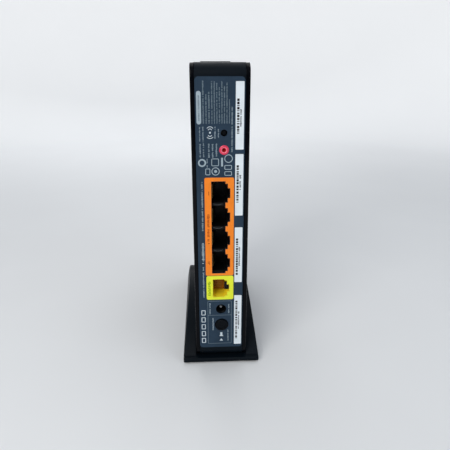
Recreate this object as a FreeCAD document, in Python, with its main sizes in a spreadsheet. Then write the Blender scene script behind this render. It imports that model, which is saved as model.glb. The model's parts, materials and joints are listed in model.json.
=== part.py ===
import FreeCAD, Part
import math
import os
import Sketcher

# A slim wireless router standing on its narrow side in a flared stand.
# Millimetres.  +Z is up, the socket face looks along -Y, the status face along +Y,
# and the origin is under the middle of the stand.

SIZES = (
    # casing
    ("body_width", 31.0),
    ("body_height", 174.6),
    ("body_depth", 118.6),
    ("body_foot", 4.0),
    ("wall", 2.0),
    ("profile_radius", 6.0),
    ("lid_thick", 2.2),
    ("side_edge_radius", 0.9),
    ("crown_rise", 0.4),
    ("crown_across", -2.0),
    ("crown_width", 16.0),
    ("crown_depth", 96.0),
    ("rim_height", 1.6),
    ("rim_thick", 1.2),
    ("slide_gap", 0.4),
    # socket wall and its printed label
    ("socket_web", 1.2),
    ("fit_gap", 0.1),
    ("seam_bevel", 0.25),
    ("mouth_bevel", 0.45),
    ("label_width", 25.9),
    ("label_bottom", 11.3),
    ("label_top", 171.9),
    ("label_thick", 0.3),
    ("label_radius", 2.0),
    ("sticker_thick", 0.15),
    ("sticker_left", 7.9),
    ("sticker_width", 4.4),
    # network sockets
    ("board_face", 6.0),
    ("board_thick", 1.6),
    ("port_pitch", 13.97),
    ("port_length", 11.9),
    ("port_height", 7.3),
    ("port_left", -4.9),
    ("latch_wide", 10.2),
    ("latch_narrow", 5.0),
    ("latch_step", 1.3),
    ("port_depth", 13.5),
    ("jack_height", 13.4),
    ("jack_depth", 22.0),
    ("jack_end_wall", 1.3),
    ("lan_middle", 89.95),
    ("wan_middle", 52.5),
    # power socket and power button
    ("dc_height", 38.3),
    ("dc_bore", 6.2),
    ("dc_pin", 2.0),
    ("dc_bore_depth", 10.0),
    ("power_height", 27.4),
    ("power_across", 0.3),
    ("power_width", 7.6),
    ("power_proud", 0.9),
    # small push buttons
    ("tact_across", 1.9),
    ("wireless_height", 143.7),
    ("reset_height", 134.7),
    ("tact_cap", 2.8),
    ("pin_hole", 2.0),
    ("pairing_height", 40.0),
    ("pairing_width", 8.0),
    ("pairing_proud", 0.5),
    # main board
    ("board_bottom", 18.0),
    ("board_top", 164.0),
    ("board_rear", -54.0),
    ("board_front", 50.0),
    # status lens
    ("lens_width", 9.0),
    ("lens_bottom", 62.0),
    ("lens_top", 150.0),
    ("light_pitch", 17.0),
    # stand
    ("stand_width", 47.4),
    ("stand_depth", 121.0),
    ("base_top", 3.6),
    ("foot_height", 0.8),
    ("cheek_peak", 32.5),
    ("cheek_arc", 71.9),
    ("cheek_top_width", 40.4),
    ("stand_corner", 0.9),
    # fasteners
    ("screw_shank", 2.4),
    ("screw_head", 5.0),
    ("thread_gap", 0.1),
    ("shank_gap", 0.4),
    ("head_gap", 0.6),
    ("boss_width", 7.0),
)

doc = FreeCAD.newDocument("wireless_router")
sheet = doc.addObject("Spreadsheet::Sheet", "sizes")
nodes = []


class Size:
    """A length that carries both its spreadsheet expression and its present value."""

    def __init__(self, text, value):
        self.text = text
        self.value = value

    def join(self, sign, other, value):
        return Size(f"({self.text} {sign} {other.text})", value)

    def __add__(self, other):
        other = sized(other)
        return self.join("+", other, self.value + other.value)

    def __sub__(self, other):
        other = sized(other)
        return self.join("-", other, self.value - other.value)

    def __mul__(self, other):
        other = sized(other)
        return self.join("*", other, self.value * other.value)

    def __truediv__(self, other):
        other = sized(other)
        return self.join("/", other, self.value / other.value)

    def __neg__(self):
        return Size(f"(-1 * {self.text})", -self.value)


def sized(item):
    """A plain number becomes a Size with that number as its expression."""
    return item if isinstance(item, Size) else Size(repr(float(item)), float(item))


def fill_sheet():
    """Write every driving size into the sheet and return them as Size values."""
    table = {}
    for row, (name, value) in enumerate(SIZES, start=1):
        sheet.set(f"A{row}", name)
        sheet.set(f"B{row}", str(value))
        sheet.setAlias(f"B{row}", name)
        table[name] = Size(f"sizes.{name}", value)
    doc.recompute()
    return table


S = fill_sheet()
SIDE = S["body_width"] / 2
REAR = -(S["body_depth"] / 2)
FRONT = S["body_depth"] / 2
BODY_MIDDLE = S["body_foot"] + S["body_height"] / 2
BODY_TOP = S["body_foot"] + S["body_height"]
LABEL_MIDDLE = (S["label_bottom"] + S["label_top"]) / 2
LABEL_HEIGHT = S["label_top"] - S["label_bottom"]
LID_INNER = SIDE - S["lid_thick"]
WALL_BACK = REAR + S["wall"]
JACK_FACE = REAR + S["socket_web"] + S["fit_gap"]
BOARD_FACE = S["board_face"]
BOARD_BACK = S["board_face"] + S["board_thick"]
PORT_MIDDLE = S["port_left"] + S["port_height"] / 2
PORT_RIGHT = S["port_left"] + S["port_height"]
LAN_LENGTH = S["port_pitch"] * 3 + S["port_length"]
LAN_FIRST = S["lan_middle"] - S["port_pitch"] * 1.5
LENS_MIDDLE = (S["lens_bottom"] + S["lens_top"]) / 2
LENS_HEIGHT = S["lens_top"] - S["lens_bottom"]
LIGHTS = 5
PORTS = 4
CLEAR = 1.0
BUTTON_GAP = 0.7


# ---------------------------------------------------------------- sketch helpers

def bind(item, path, size):
    item.setExpression(path, sized(size).text)


def new_body(name):
    body = doc.addObject("PartDesign::Body", name)
    body.Label = name
    nodes.append(body)
    return body


def origin_item(body, role):
    return next(item for item in body.Origin.OriginFeatures if item.Role == role)


def sketch_on(body, role, name, across, up, out):
    """A sketch on an origin plane, with its own zero moved across, up and out."""
    sketch = body.newObject("Sketcher::SketchObject", name)
    sketch.AttachmentSupport = [(origin_item(body, role), "")]
    sketch.MapMode = "FlatFace"
    bind(sketch, ".AttachmentOffset.Base.x", across)
    bind(sketch, ".AttachmentOffset.Base.y", up)
    bind(sketch, ".AttachmentOffset.Base.z", out)
    return sketch


def rear_sketch(body, name, x, z, y):
    """Sketch seen from the socket side: right is +X, up is +Z, material grows to -Y."""
    return sketch_on(body, "XZ_Plane", name, x, z, -sized(y))


def side_sketch(body, name, y, z, x):
    """Sketch seen from the right side: right is +Y, up is +Z, material grows to +X."""
    return sketch_on(body, "YZ_Plane", name, y, z, x)


def top_sketch(body, name, x, y, z):
    """Sketch seen from above: right is +X, up is +Y, material grows to +Z."""
    return sketch_on(body, "XY_Plane", name, x, y, z)


def hold(sketch, kind, geometry, point, size):
    """Tie a point's signed distance from the sketch zero to a size."""
    size = sized(size)
    number = sketch.addConstraint(Sketcher.Constraint(kind, -1, 1, geometry, point, size.value))
    sketch.setExpression(f"Constraints[{number}]", size.text)


def polygon(sketch, corners):
    """A closed outline through corners given as (across, up) pairs of sizes."""
    corners = [(sized(a), sized(b)) for a, b in corners]
    points = [FreeCAD.Vector(a.value, b.value, 0) for a, b in corners]
    ends = points[1:] + points[:1]
    lines = [sketch.addGeometry(Part.LineSegment(p, q), False) for p, q in zip(points, ends)]
    for line, after in zip(lines, lines[1:] + lines[:1]):
        sketch.addConstraint(Sketcher.Constraint("Coincident", line, 2, after, 1))
    for line, (a, b) in zip(lines, corners):
        hold(sketch, "DistanceX", line, 1, a)
        hold(sketch, "DistanceY", line, 1, b)


def rectangle(sketch, width, height):
    """A rectangle about the sketch zero."""
    a, b = sized(width) / 2, sized(height) / 2
    polygon(sketch, [(-a, -b), (a, -b), (a, b), (-a, b)])


def rounded_rectangle(sketch, width, height, radius):
    """A rectangle about the sketch zero with four equal round corners."""
    radius = sized(radius)
    a, b = sized(width) / 2 - radius, sized(height) / 2 - radius
    centres = [(a, b), (-a, b), (-a, -b), (a, -b)]
    arcs = []
    for turn, (x, y) in enumerate(centres):
        middle = FreeCAD.Vector(x.value, y.value, 0)
        circle = Part.Circle(middle, FreeCAD.Vector(0, 0, 1), radius.value)
        start = turn * math.pi / 2
        arcs.append(sketch.addGeometry(Part.ArcOfCircle(circle, start, start + math.pi / 2), False))
        hold(sketch, "DistanceX", arcs[-1], 3, x)
        hold(sketch, "DistanceY", arcs[-1], 3, y)
        number = sketch.addConstraint(Sketcher.Constraint("Radius", arcs[-1], radius.value))
        sketch.setExpression(f"Constraints[{number}]", radius.text)
    for arc, after in zip(arcs, arcs[1:] + arcs[:1]):
        start = sketch.getPoint(arc, 2)
        end = sketch.getPoint(after, 1)
        line = sketch.addGeometry(Part.LineSegment(start, end), False)
        sketch.addConstraint(Sketcher.Constraint("Tangent", arc, 2, line, 1))
        sketch.addConstraint(Sketcher.Constraint("Tangent", line, 2, after, 1))


def circle(sketch, width, x=0.0, y=0.0):
    """A circle of the given width at a point of the sketch."""
    x, y, radius = sized(x), sized(y), sized(width) / 2
    middle = FreeCAD.Vector(x.value, y.value, 0)
    item = sketch.addGeometry(Part.Circle(middle, FreeCAD.Vector(0, 0, 1), radius.value), False)
    hold(sketch, "DistanceX", item, 3, x)
    hold(sketch, "DistanceY", item, 3, y)
    number = sketch.addConstraint(Sketcher.Constraint("Radius", item, radius.value))
    sketch.setExpression(f"Constraints[{number}]", radius.text)


def pad(body, sketch, length, back=False):
    """Grow the sketch along its normal, or the other way when back is set."""
    feature = body.newObject("PartDesign::Pad", sketch.Name + "_pad")
    feature.Profile = sketch
    bind(feature, "Length", length)
    feature.Reversed = back
    doc.recompute()
    return feature


def pocket(body, sketch, length, back=False):
    """Cut against the sketch normal, or along it when back is set."""
    before = body.Shape.Volume
    feature = body.newObject("PartDesign::Pocket", sketch.Name + "_cut")
    feature.Profile = sketch
    feature.Type = 0
    bind(feature, "Length", length)
    feature.Reversed = back
    doc.recompute()
    if body.Shape.Volume > before - 1e-4:
        raise ValueError(f"{sketch.Name} cuts nothing")
    return feature


def cut_both_ways(body, sketch, length):
    """Cut half the length to each side of the sketch plane."""
    feature = pocket(body, sketch, length)
    feature.SideType = "Symmetric"
    doc.recompute()
    return feature


def repeat(body, originals, role, pitch, count):
    """Repeat features along an origin axis, the first staying where it is."""
    feature = body.newObject("PartDesign::LinearPattern", originals[0].Name + "_row")
    feature.Originals = originals
    feature.Direction = (origin_item(body, role), [""])
    feature.Mode = "Spacing"
    bind(feature, "Offset", pitch)
    feature.Occurrences = count
    body.Tip = feature
    doc.recompute()
    return feature


def edges_where(shape, test):
    """Names of the edges whose every sampled point passes the test."""
    names = []
    for number, edge in enumerate(shape.Edges, start=1):
        first, last = edge.ParameterRange
        points = [edge.valueAt(first + (last - first) * part / 4) for part in range(5)]
        if all(test(point) for point in points):
            names.append(f"Edge{number}")
    return names


def round_edges(body, radius, test):
    """Fillet every edge of the body's present shape that passes the test."""
    tip = body.Tip
    feature = body.newObject("PartDesign::Fillet", body.Name + "_round")
    feature.Base = (tip, edges_where(tip.Shape, test))
    bind(feature, "Radius", radius)
    doc.recompute()
    return feature


def bevel_edges(body, size, test):
    """Chamfer every edge of the body's present shape that passes the test."""
    tip = body.Tip
    feature = body.newObject("PartDesign::Chamfer", body.Name + "_bevel")
    feature.Base = (tip, edges_where(tip.Shape, test))
    bind(feature, "Size", size)
    doc.recompute()
    return feature


def near(value, target):
    return abs(value - sized(target).value) < 1e-3


# ------------------------------------------------------------- primitive helpers

def place(item, x, y, z):
    bind(item, ".Placement.Base.x", x)
    bind(item, ".Placement.Base.y", y)
    bind(item, ".Placement.Base.z", z)
    return item


def box(name, low, high):
    """A block between two corners given as triples of sizes."""
    item = doc.addObject("Part::Box", name)
    for prop, a, b in zip(("Length", "Width", "Height"), low, high):
        bind(item, prop, sized(b) - sized(a))
    return place(item, *low)


AXES = {
    "x": FreeCAD.Rotation(FreeCAD.Vector(0, 1, 0), 90),
    "y": FreeCAD.Rotation(FreeCAD.Vector(1, 0, 0), -90),
    "z": FreeCAD.Rotation(),
}


def rod(name, axis, width, length, start):
    """A round bar that grows from start along +X, +Y or +Z."""
    item = doc.addObject("Part::Cylinder", name)
    bind(item, "Radius", sized(width) / 2)
    bind(item, "Height", length)
    item.Placement.Rotation = AXES[axis]
    return place(item, *start)


def fuse(name, shapes):
    item = doc.addObject("Part::MultiFuse", name)
    item.Shapes = shapes
    return item


def cut(name, base, tool):
    item = doc.addObject("Part::Cut", name)
    item.Base = base
    item.Tool = tool
    return item


def group(name, shapes):
    """One node of several separate solids."""
    item = doc.addObject("Part::Compound", name)
    item.Links = shapes
    return item


def soften(name, base, radius, test):
    """Fillet the edges of a primitive that pass the test."""
    doc.recompute()
    item = doc.addObject("Part::Fillet", name)
    item.Base = base
    numbers = [int(edge[4:]) for edge in edges_where(base.Shape, test)]
    item.Edges = [(number, sized(radius).value, sized(radius).value) for number in numbers]
    return item


def as_node(item, name):
    item.Label = name
    nodes.append(item)
    return item


# ------------------------------------------------------------------------ casing

COVER_SCREWS = [(y, z) for z in (10.8, 172.2) for y in (-43.0, 43.0)]
BOARD_SCREWS = [(y, z) for z in (25.0, 157.0) for y in (-26.0, 42.0)]
VENT_ROWS = 9
VENT_PITCH = 5.0
VENT_LENGTH = 26.0
VENT_HEIGHT = 2.0
VENT_COLUMNS = (-30.0, 0.0, 30.0)
TOP_VENTS = 17
TOP_VENT_PITCH = 5.0
TOP_VENT_LENGTH = 12.0
CROWN_CORNER = 2.0


def frame_outline(body, name, x, inset):
    """The casing's side profile, shrunk all round by inset."""
    outline = side_sketch(body, name, 0.0, BODY_MIDDLE, x)
    shrink_outline(outline, inset)
    return outline


def shrink_outline(sketch, inset):
    inset = sized(inset)
    rounded_rectangle(
        sketch,
        S["body_depth"] - inset * 2,
        S["body_height"] - inset * 2,
        S["profile_radius"] - inset,
    )


def centre_frame():
    """The band between the two lids; its rear wall holds the socket openings."""
    name = "centre_frame"
    body = new_body(name)
    pad(body, frame_outline(body, "frame_outline", -LID_INNER, 0.0), LID_INNER * 2)
    bevel_edges(body, S["seam_bevel"], lambda p: near(abs(p.x), LID_INNER))
    hollow = frame_outline(body, "frame_hollow", -LID_INNER, S["wall"])
    pocket(body, hollow, LID_INNER * 2, back=True)
    socket_seats(body)
    through = S["wall"] + CLEAR
    socket_openings(body, "frame", REAR, through, 0.15)
    round_openings(body, "frame", REAR, through, 0.0)
    front_openings(body, through)
    top_grille(body)


def top_grille(body):
    """A low raised field along the top, with a row of cross slots through the wall."""
    across = S["crown_across"]
    crown = top_sketch(body, "crown", across, 0.0, BODY_TOP)
    rounded_rectangle(crown, S["crown_width"], S["crown_depth"], CROWN_CORNER)
    pad(body, crown, S["crown_rise"])
    top = (BODY_TOP + S["crown_rise"]).value
    bevel_edges(body, S["crown_rise"] / 2, lambda p: near(p.z, top))
    first = -TOP_VENT_PITCH * (TOP_VENTS - 1) / 2
    slot = top_sketch(body, "top_vent", across, first, BODY_TOP + S["crown_rise"])
    rounded_rectangle(slot, TOP_VENT_LENGTH, VENT_HEIGHT, VENT_HEIGHT * 0.45)
    vent = pocket(body, slot, S["wall"] + S["crown_rise"] + CLEAR)
    repeat(body, [vent], "Y_Axis", TOP_VENT_PITCH, TOP_VENTS)


def front_openings(body, through):
    """Openings for the status lens and the front push button."""
    gap = S["fit_gap"] * 2
    lens = rear_sketch(body, "lens_gap", 0.0, LENS_MIDDLE, FRONT)
    rounded_rectangle(lens, S["lens_width"] + gap, LENS_HEIGHT + gap, S["lens_width"] / 2)
    pocket(body, lens, through, back=True)
    button = rear_sketch(body, "pairing_gap", 0.0, S["pairing_height"], FRONT)
    circle(button, S["pairing_width"] + BUTTON_GAP)
    pocket(body, button, through, back=True)


def side_lid(name, hand):
    """A broad side of the casing: hand -1 is the left side, +1 the right side."""
    body = new_body(name)
    right = hand > 0
    inner = LID_INNER * hand
    pad(body, frame_outline(body, name + "_outline", inner, 0.0), S["lid_thick"], back=not right)
    outer = SIDE.value * hand
    round_edges(body, S["side_edge_radius"] - S["seam_bevel"], lambda p: near(p.x, outer))
    seam = inner.value
    bevel_edges(body, S["seam_bevel"] / 2, lambda p: near(p.x, seam))
    rim = side_sketch(body, name + "_rim", 0.0, BODY_MIDDLE, inner)
    rim_inset = S["wall"] + S["fit_gap"]
    shrink_outline(rim, rim_inset)
    shrink_outline(rim, rim_inset + S["rim_thick"])
    pad(body, rim, S["rim_height"], back=right)
    return body


def vent_slots(body, name, hand, low):
    """Rows of long slots through the broad face."""
    slots = side_sketch(body, name + "_vents", 0.0, low, SIDE * hand)
    half, rise = VENT_LENGTH / 2, VENT_HEIGHT / 2
    for middle in VENT_COLUMNS:
        left, right = middle - half, middle + half
        polygon(slots, [(left, -rise), (right, -rise), (right, rise), (left, rise)])
    first = pocket(body, slots, S["lid_thick"] + CLEAR, back=hand < 0)
    repeat(body, [first], "Z_Axis", VENT_PITCH, VENT_ROWS)


def bosses(body, name, places, width, start, length, back):
    """Round posts standing on the inner face of a broad wall."""
    posts = side_sketch(body, name, 0.0, 0.0, start)
    for y, z in places:
        circle(posts, width, y, z)
    pad(body, posts, length, back=back)


def holes(body, name, places, width, start, length, back):
    """Round holes along X."""
    bores = side_sketch(body, name, 0.0, 0.0, start)
    for y, z in places:
        circle(bores, width, y, z)
    pocket(body, bores, length, back=back)


def left_lid():
    """The left side, with the long posts that the cover screws bite into."""
    name = "left_lid"
    body = side_lid(name, -1)
    bosses(body, "left_posts", COVER_SCREWS, S["boss_width"], -LID_INNER, LID_INNER, False)
    holes(body, "left_threads", COVER_SCREWS, S["screw_shank"] + S["thread_gap"], 0.0, 10.0, False)
    vent_slots(body, name, -1, 112.0)
    vent_slots(body, name + "_low", -1, 24.0)


def right_lid():
    """The right side, with the cover screw holes and the posts that carry the board."""
    name = "right_lid"
    body = side_lid(name, 1)
    bosses(body, "right_posts", COVER_SCREWS, S["boss_width"], LID_INNER, LID_INNER, True)
    holes(body, "right_shanks", COVER_SCREWS, S["screw_shank"] + S["shank_gap"], 0.0, SIDE, True)
    holes(body, "right_heads", COVER_SCREWS, S["screw_head"] + S["head_gap"], SIDE, SIDE / 2, False)
    rise = LID_INNER - BOARD_BACK
    bosses(body, "board_posts", BOARD_SCREWS, S["boss_width"], LID_INNER, rise, True)
    thread = S["screw_shank"] + S["thread_gap"]
    holes(body, "board_threads", BOARD_SCREWS, thread, BOARD_BACK, 5.0, True)
    vent_slots(body, name, 1, 112.0)


# ------------------------------------------------------------- socket openings

def socket_openings(body, name, start, length, gap):
    """The row opening with its latch notches, the single socket and the round holes."""
    sides = sized(gap) * 2
    row = rear_sketch(body, name + "_row", PORT_MIDDLE, S["lan_middle"], start)
    rectangle(row, S["port_height"] + sides, LAN_LENGTH + sides + 1.0)
    pocket(body, row, length)
    single = rear_sketch(body, name + "_single", PORT_MIDDLE, S["wan_middle"], start)
    rectangle(single, S["port_height"] + sides, S["port_length"] + sides)
    pocket(body, single, length)
    latches = latch_cuts(body, name, LAN_FIRST, start, length, gap)
    repeat(body, latches, "Z_Axis", S["port_pitch"], PORTS)
    latch_cuts(body, name + "_wan", S["wan_middle"], start, length, gap)


def latch_cuts(body, name, z, start, length, gap):
    """The two steps of a latch notch beside a socket opening."""
    cuts = []
    for step, width in enumerate((S["latch_wide"], S["latch_narrow"]), start=1):
        reach = S["latch_step"] * step + gap
        notch = rear_sketch(body, f"{name}_latch_{step}", PORT_RIGHT, z, start)
        half = width / 2 + gap
        polygon(notch, [(-1.0, -half), (reach, -half), (reach, half), (-1.0, half)])
        cuts.append(pocket(body, notch, length))
    return cuts


def round_openings(body, name, start, length, gap):
    """Holes for the power plug, the power button and the two small buttons."""
    bores = rear_sketch(body, name + "_round", 0.0, 0.0, start)
    circle(bores, S["dc_bore"] + gap, 0.0, S["dc_height"])
    circle(bores, S["power_width"] + BUTTON_GAP + gap, S["power_across"], S["power_height"])
    circle(bores, S["tact_cap"] + BUTTON_GAP + gap, S["tact_across"], S["wireless_height"])
    circle(bores, S["pin_hole"] + gap, S["tact_across"], S["reset_height"])
    pocket(body, bores, length)


def socket_seats(body):
    """Recesses inside the rear wall that bring the socket blocks near its face."""
    deep = S["wall"] - S["socket_web"]
    ends = S["jack_end_wall"] * 2 + 0.4
    middle = BOARD_FACE - S["jack_height"] / 2
    for label, z, length in (
        ("lan", S["lan_middle"], LAN_LENGTH),
        ("wan", S["wan_middle"], S["port_length"]),
    ):
        seat = rear_sketch(body, f"{label}_seat", middle, z, WALL_BACK)
        rectangle(seat, S["jack_height"] + 0.4, length + ends)
        pocket(body, seat, deep, back=True)
    dc_seat = rear_sketch(body, "dc_seat", 0.65, S["dc_height"], WALL_BACK)
    rectangle(dc_seat, S["board_face"] + DC_WIDTH / 2 + 0.4, DC_WIDTH + 0.4)
    pocket(body, dc_seat, deep, back=True)


def rear_label():
    """The printed overlay with the same openings, stuck on the rear wall."""
    body = new_body("rear_label")
    sheet_outline = rear_sketch(body, "label_outline", -0.15, LABEL_MIDDLE, REAR)
    rounded_rectangle(sheet_outline, S["label_width"], LABEL_HEIGHT, S["label_radius"])
    pad(body, sheet_outline, S["label_thick"])
    face = REAR - S["label_thick"]
    through = S["label_thick"] + S["fit_gap"] * 2
    socket_openings(body, "label", face, through, 0.2)
    round_openings(body, "label", face, through, 0.1)


STICKERS = (
    ("upper_sticker", 134.9, 169.6),
    ("second_sticker", 97.9, 132.5),
    ("third_sticker", 56.3, 90.8),
    ("lower_sticker", 13.3, 47.5),
)


def stickers():
    """Four narrow paper stickers in a column down the right of the label."""
    face = REAR - S["label_thick"]
    for name, low, high in STICKERS:
        body = new_body(name)
        across = S["sticker_left"] + S["sticker_width"] / 2
        outline = rear_sketch(body, name + "_outline", across, (low + high) / 2, face)
        rounded_rectangle(outline, S["sticker_width"], high - low, 0.4)
        pad(body, outline, S["sticker_thick"])


# ----------------------------------------------------------------------- sockets

DC_WIDTH = 9.4
DC_DEPTH = 14.0
DC_PIN_SUNK = 1.0
CONTACT_PITCH = 1.02
CONTACT_WIDTH = 0.4


def jack_housing(name, middle, ports):
    """A moulded socket block with one T-shaped cavity for each port."""
    body = new_body(name)
    ends = S["jack_end_wall"] * 2
    length = S["port_pitch"] * (ports - 1) + S["port_length"] + ends
    block = rear_sketch(body, name + "_block", BOARD_FACE - S["jack_height"] / 2, middle, JACK_FACE)
    rectangle(block, S["jack_height"], length)
    pad(body, block, S["jack_depth"], back=True)
    first = middle - S["port_pitch"] * ((ports - 1) / 2)
    cavity = rear_sketch(body, name + "_cavity", PORT_MIDDLE, first, JACK_FACE)
    rectangle(cavity, S["port_height"], S["port_length"])
    cuts = [pocket(body, cavity, S["port_depth"])]
    cuts += latch_cuts(body, name, first, JACK_FACE, S["port_depth"], 0.0)
    if ports > 1:
        repeat(body, cuts, "Z_Axis", S["port_pitch"], ports)
    face, ends = JACK_FACE.value, length.value / 2
    lowest, highest = middle.value - ends, middle.value + ends
    left = (BOARD_FACE - S["jack_height"]).value

    def on_mouth(p):
        inside_x = left + 0.1 < p.x < BOARD_FACE.value - 0.1
        return near(p.y, face) and inside_x and lowest + 0.1 < p.z < highest - 0.1

    bevel_edges(body, S["mouth_bevel"], on_mouth)


def jack_contacts(name, middle, ports, wires):
    """Sprung wires that slope inward from the far wall of each cavity."""
    first = middle - S["port_pitch"] * ((ports - 1) / 2)
    springs = []
    for port in range(ports):
        port_z = first + S["port_pitch"] * port
        for wire in range(wires):
            z = port_z + CONTACT_PITCH * (wire - (wires - 1) / 2) - CONTACT_WIDTH / 2
            spring = doc.addObject("Part::Wedge", f"{name}_{port}_{wire}")
            set_contact_profile(spring)
            springs.append(place(spring, S["port_left"], JACK_FACE + 2.0, z))
    as_node(group(name, springs), name)


def set_contact_profile(spring):
    """A leaning strip: thin at the wall near the mouth, standing away further in."""
    rise, run, thick = 1.9, 8.0, 0.35
    spring.Xmin, spring.Xmax = 0.02, thick
    spring.X2min, spring.X2max = rise, rise + thick
    spring.Ymin, spring.Ymax = 0.0, run
    spring.Zmin, spring.Zmax = 0.0, CONTACT_WIDTH
    spring.Z2min, spring.Z2max = 0.0, CONTACT_WIDTH


def dc_jack():
    """Barrel socket: a square block with a round bore and an open back slot."""
    body = new_body("dc_jack")
    block = rear_sketch(body, "dc_block", 0.0, S["dc_height"], JACK_FACE)
    half = DC_WIDTH / 2
    polygon(block, [(-half, -half), (BOARD_FACE, -half), (BOARD_FACE, half), (-half, half)])
    pad(body, block, DC_DEPTH, back=True)
    bore = rear_sketch(body, "dc_bore_hole", 0.0, S["dc_height"], JACK_FACE)
    circle(bore, S["dc_bore"])
    pocket(body, bore, S["dc_bore_depth"])
    face = JACK_FACE.value
    mouth = (S["dc_bore"] / 2).value
    height = S["dc_height"].value

    def on_mouth(p):
        return near(p.y, face) and near(math.hypot(p.x, p.z - height), mouth)

    bevel_edges(body, S["mouth_bevel"], on_mouth)
    tip = JACK_FACE + DC_PIN_SUNK
    pin_length = S["dc_bore_depth"] - DC_PIN_SUNK
    pin = rod("dc_pin_rod", "y", S["dc_pin"], pin_length, (0.0, tip, S["dc_height"]))
    as_node(soften("dc_pin", pin, 0.6, lambda p: near(p.y, tip.value)), "dc_pin")
    low = (-2.8, JACK_FACE + 3.0, S["dc_height"] - 1.2)
    high = (-2.3, JACK_FACE + 9.5, S["dc_height"] + 1.2)
    as_node(box("dc_spring", low, high), "dc_spring")


# ---------------------------------------------------------------- buttons

SWITCH_WIDTH = 6.0
SWITCH_DEPTH = 3.6
SWITCH_BORE_DEPTH = 2.4
BORE_GAP = 0.6
BUTTON_ROUND = 0.5
POWER_CAP_LENGTH = 8.0
POWER_RIM = 1.1
POWER_DISH_DEPTH = 0.35
POWER_STEM = 3.0
POWER_STEM_LENGTH = 6.0
POWER_SWITCH_BACK = 11.5
POWER_SWITCH_LENGTH = 13.0
POWER_BORE_DEPTH = 5.0
RESET_WIDTH = 3.0
PAIRING_STEM = 3.4


def power_parts():
    """The latching power switch and the round cap that slides into it."""
    x, z = S["power_across"], S["power_height"]
    front = REAR - S["label_thick"] - S["power_proud"]
    body = new_body("power_button")
    cap = rear_sketch(body, "power_cap", x, z, front)
    circle(cap, S["power_width"])
    pad(body, cap, POWER_CAP_LENGTH, back=True)
    dish = rear_sketch(body, "power_dish", x, z, front)
    circle(dish, S["power_width"] - POWER_RIM * 2)
    pocket(body, dish, POWER_DISH_DEPTH)
    stem = rear_sketch(body, "power_stem", x, z, front + POWER_CAP_LENGTH)
    circle(stem, POWER_STEM)
    pad(body, stem, POWER_STEM_LENGTH, back=True)
    face = front.value
    rim = (S["power_width"] / 2).value

    def on_rim(p):
        return near(p.y, face) and near(math.hypot(p.x - x.value, p.z - z.value), rim)

    round_edges(body, BUTTON_ROUND, on_rim)
    switch = new_body("power_switch")
    start = REAR + POWER_SWITCH_BACK
    block = rear_sketch(switch, "power_switch_block", 0.0, z, start)
    left, half = -4.0, 4.2
    polygon(block, [(left, -half), (BOARD_FACE, -half), (BOARD_FACE, half), (left, half)])
    pad(switch, block, POWER_SWITCH_LENGTH, back=True)
    bore = rear_sketch(switch, "power_switch_bore", x, z, start)
    circle(bore, POWER_STEM + BORE_GAP)
    pocket(switch, bore, POWER_BORE_DEPTH)


def tact_switch(name, x, z, face, bore, outward):
    """A small right-angle push switch whose bore opens rearward or frontward."""
    body = new_body(name)
    block = rear_sketch(body, name + "_block", 0.0, z, face)
    half = SWITCH_WIDTH / 2
    left = sized(x) - half
    polygon(block, [(left, -half), (BOARD_FACE, -half), (BOARD_FACE, half), (left, half)])
    pad(body, block, SWITCH_DEPTH, back=outward < 0)
    hole = rear_sketch(body, name + "_bore", x, z, face)
    circle(hole, sized(bore) + BORE_GAP)
    pocket(body, hole, SWITCH_BORE_DEPTH, back=outward > 0)


def plunger(name, x, z, start, width, length):
    """A plain round push piece along Y with a softened outer rim."""
    bar = rod(name + "_rod", "y", width, length, (x, start, z))
    face = sized(start).value
    as_node(soften(name, bar, 0.3, lambda p: near(p.y, face)), name)


def small_buttons():
    """The wireless button and the recessed reset button with their switches."""
    face = REAR + 6.3
    x = S["tact_across"]
    plunger("wireless_button", x, S["wireless_height"], REAR + 0.7, S["tact_cap"], 7.0)
    tact_switch("wireless_switch", x, S["wireless_height"], face, S["tact_cap"], -1)
    plunger("reset_button", x, S["reset_height"], REAR + 3.4, RESET_WIDTH, 4.3)
    tact_switch("reset_switch", x, S["reset_height"], face, RESET_WIDTH, -1)


def pairing_parts():
    """Front push button with a stem reaching its switch on the board."""
    z = S["pairing_height"]
    body = new_body("pairing_button")
    front = FRONT + S["pairing_proud"]
    cap_length, stem_length = 5.5, 5.6
    cap = rear_sketch(body, "pairing_cap", 0.0, z, front)
    circle(cap, S["pairing_width"])
    pad(body, cap, cap_length)
    stem = rear_sketch(body, "pairing_stem", 0.0, z, front - cap_length)
    circle(stem, PAIRING_STEM)
    pad(body, stem, stem_length)
    face = front.value
    round_edges(body, BUTTON_ROUND, lambda p: near(p.y, face))
    tact_switch("pairing_switch", 0.0, z, S["board_front"] - 0.2, PAIRING_STEM, 1)


# ------------------------------------------------------------------- status face

LENS_FLANGE = 1.5
LENS_FLANGE_THICK = 0.8


def front_lens():
    """A smoked strip with a flange behind the casing wall."""
    body = new_body("front_lens")
    strip = rear_sketch(body, "lens_strip", 0.0, LENS_MIDDLE, FRONT)
    rounded_rectangle(strip, S["lens_width"], LENS_HEIGHT, S["lens_width"] / 2 - 0.05)
    pad(body, strip, S["wall"])
    flange = rear_sketch(body, "lens_flange", 0.0, LENS_MIDDLE, FRONT - S["wall"])
    rectangle(flange, S["lens_width"] + LENS_FLANGE * 2, LENS_HEIGHT + LENS_FLANGE * 2)
    pad(body, flange, LENS_FLANGE_THICK)


def light_heights():
    return [LENS_MIDDLE + S["light_pitch"] * (step - (LIGHTS - 1) / 2) for step in range(LIGHTS)]


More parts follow.
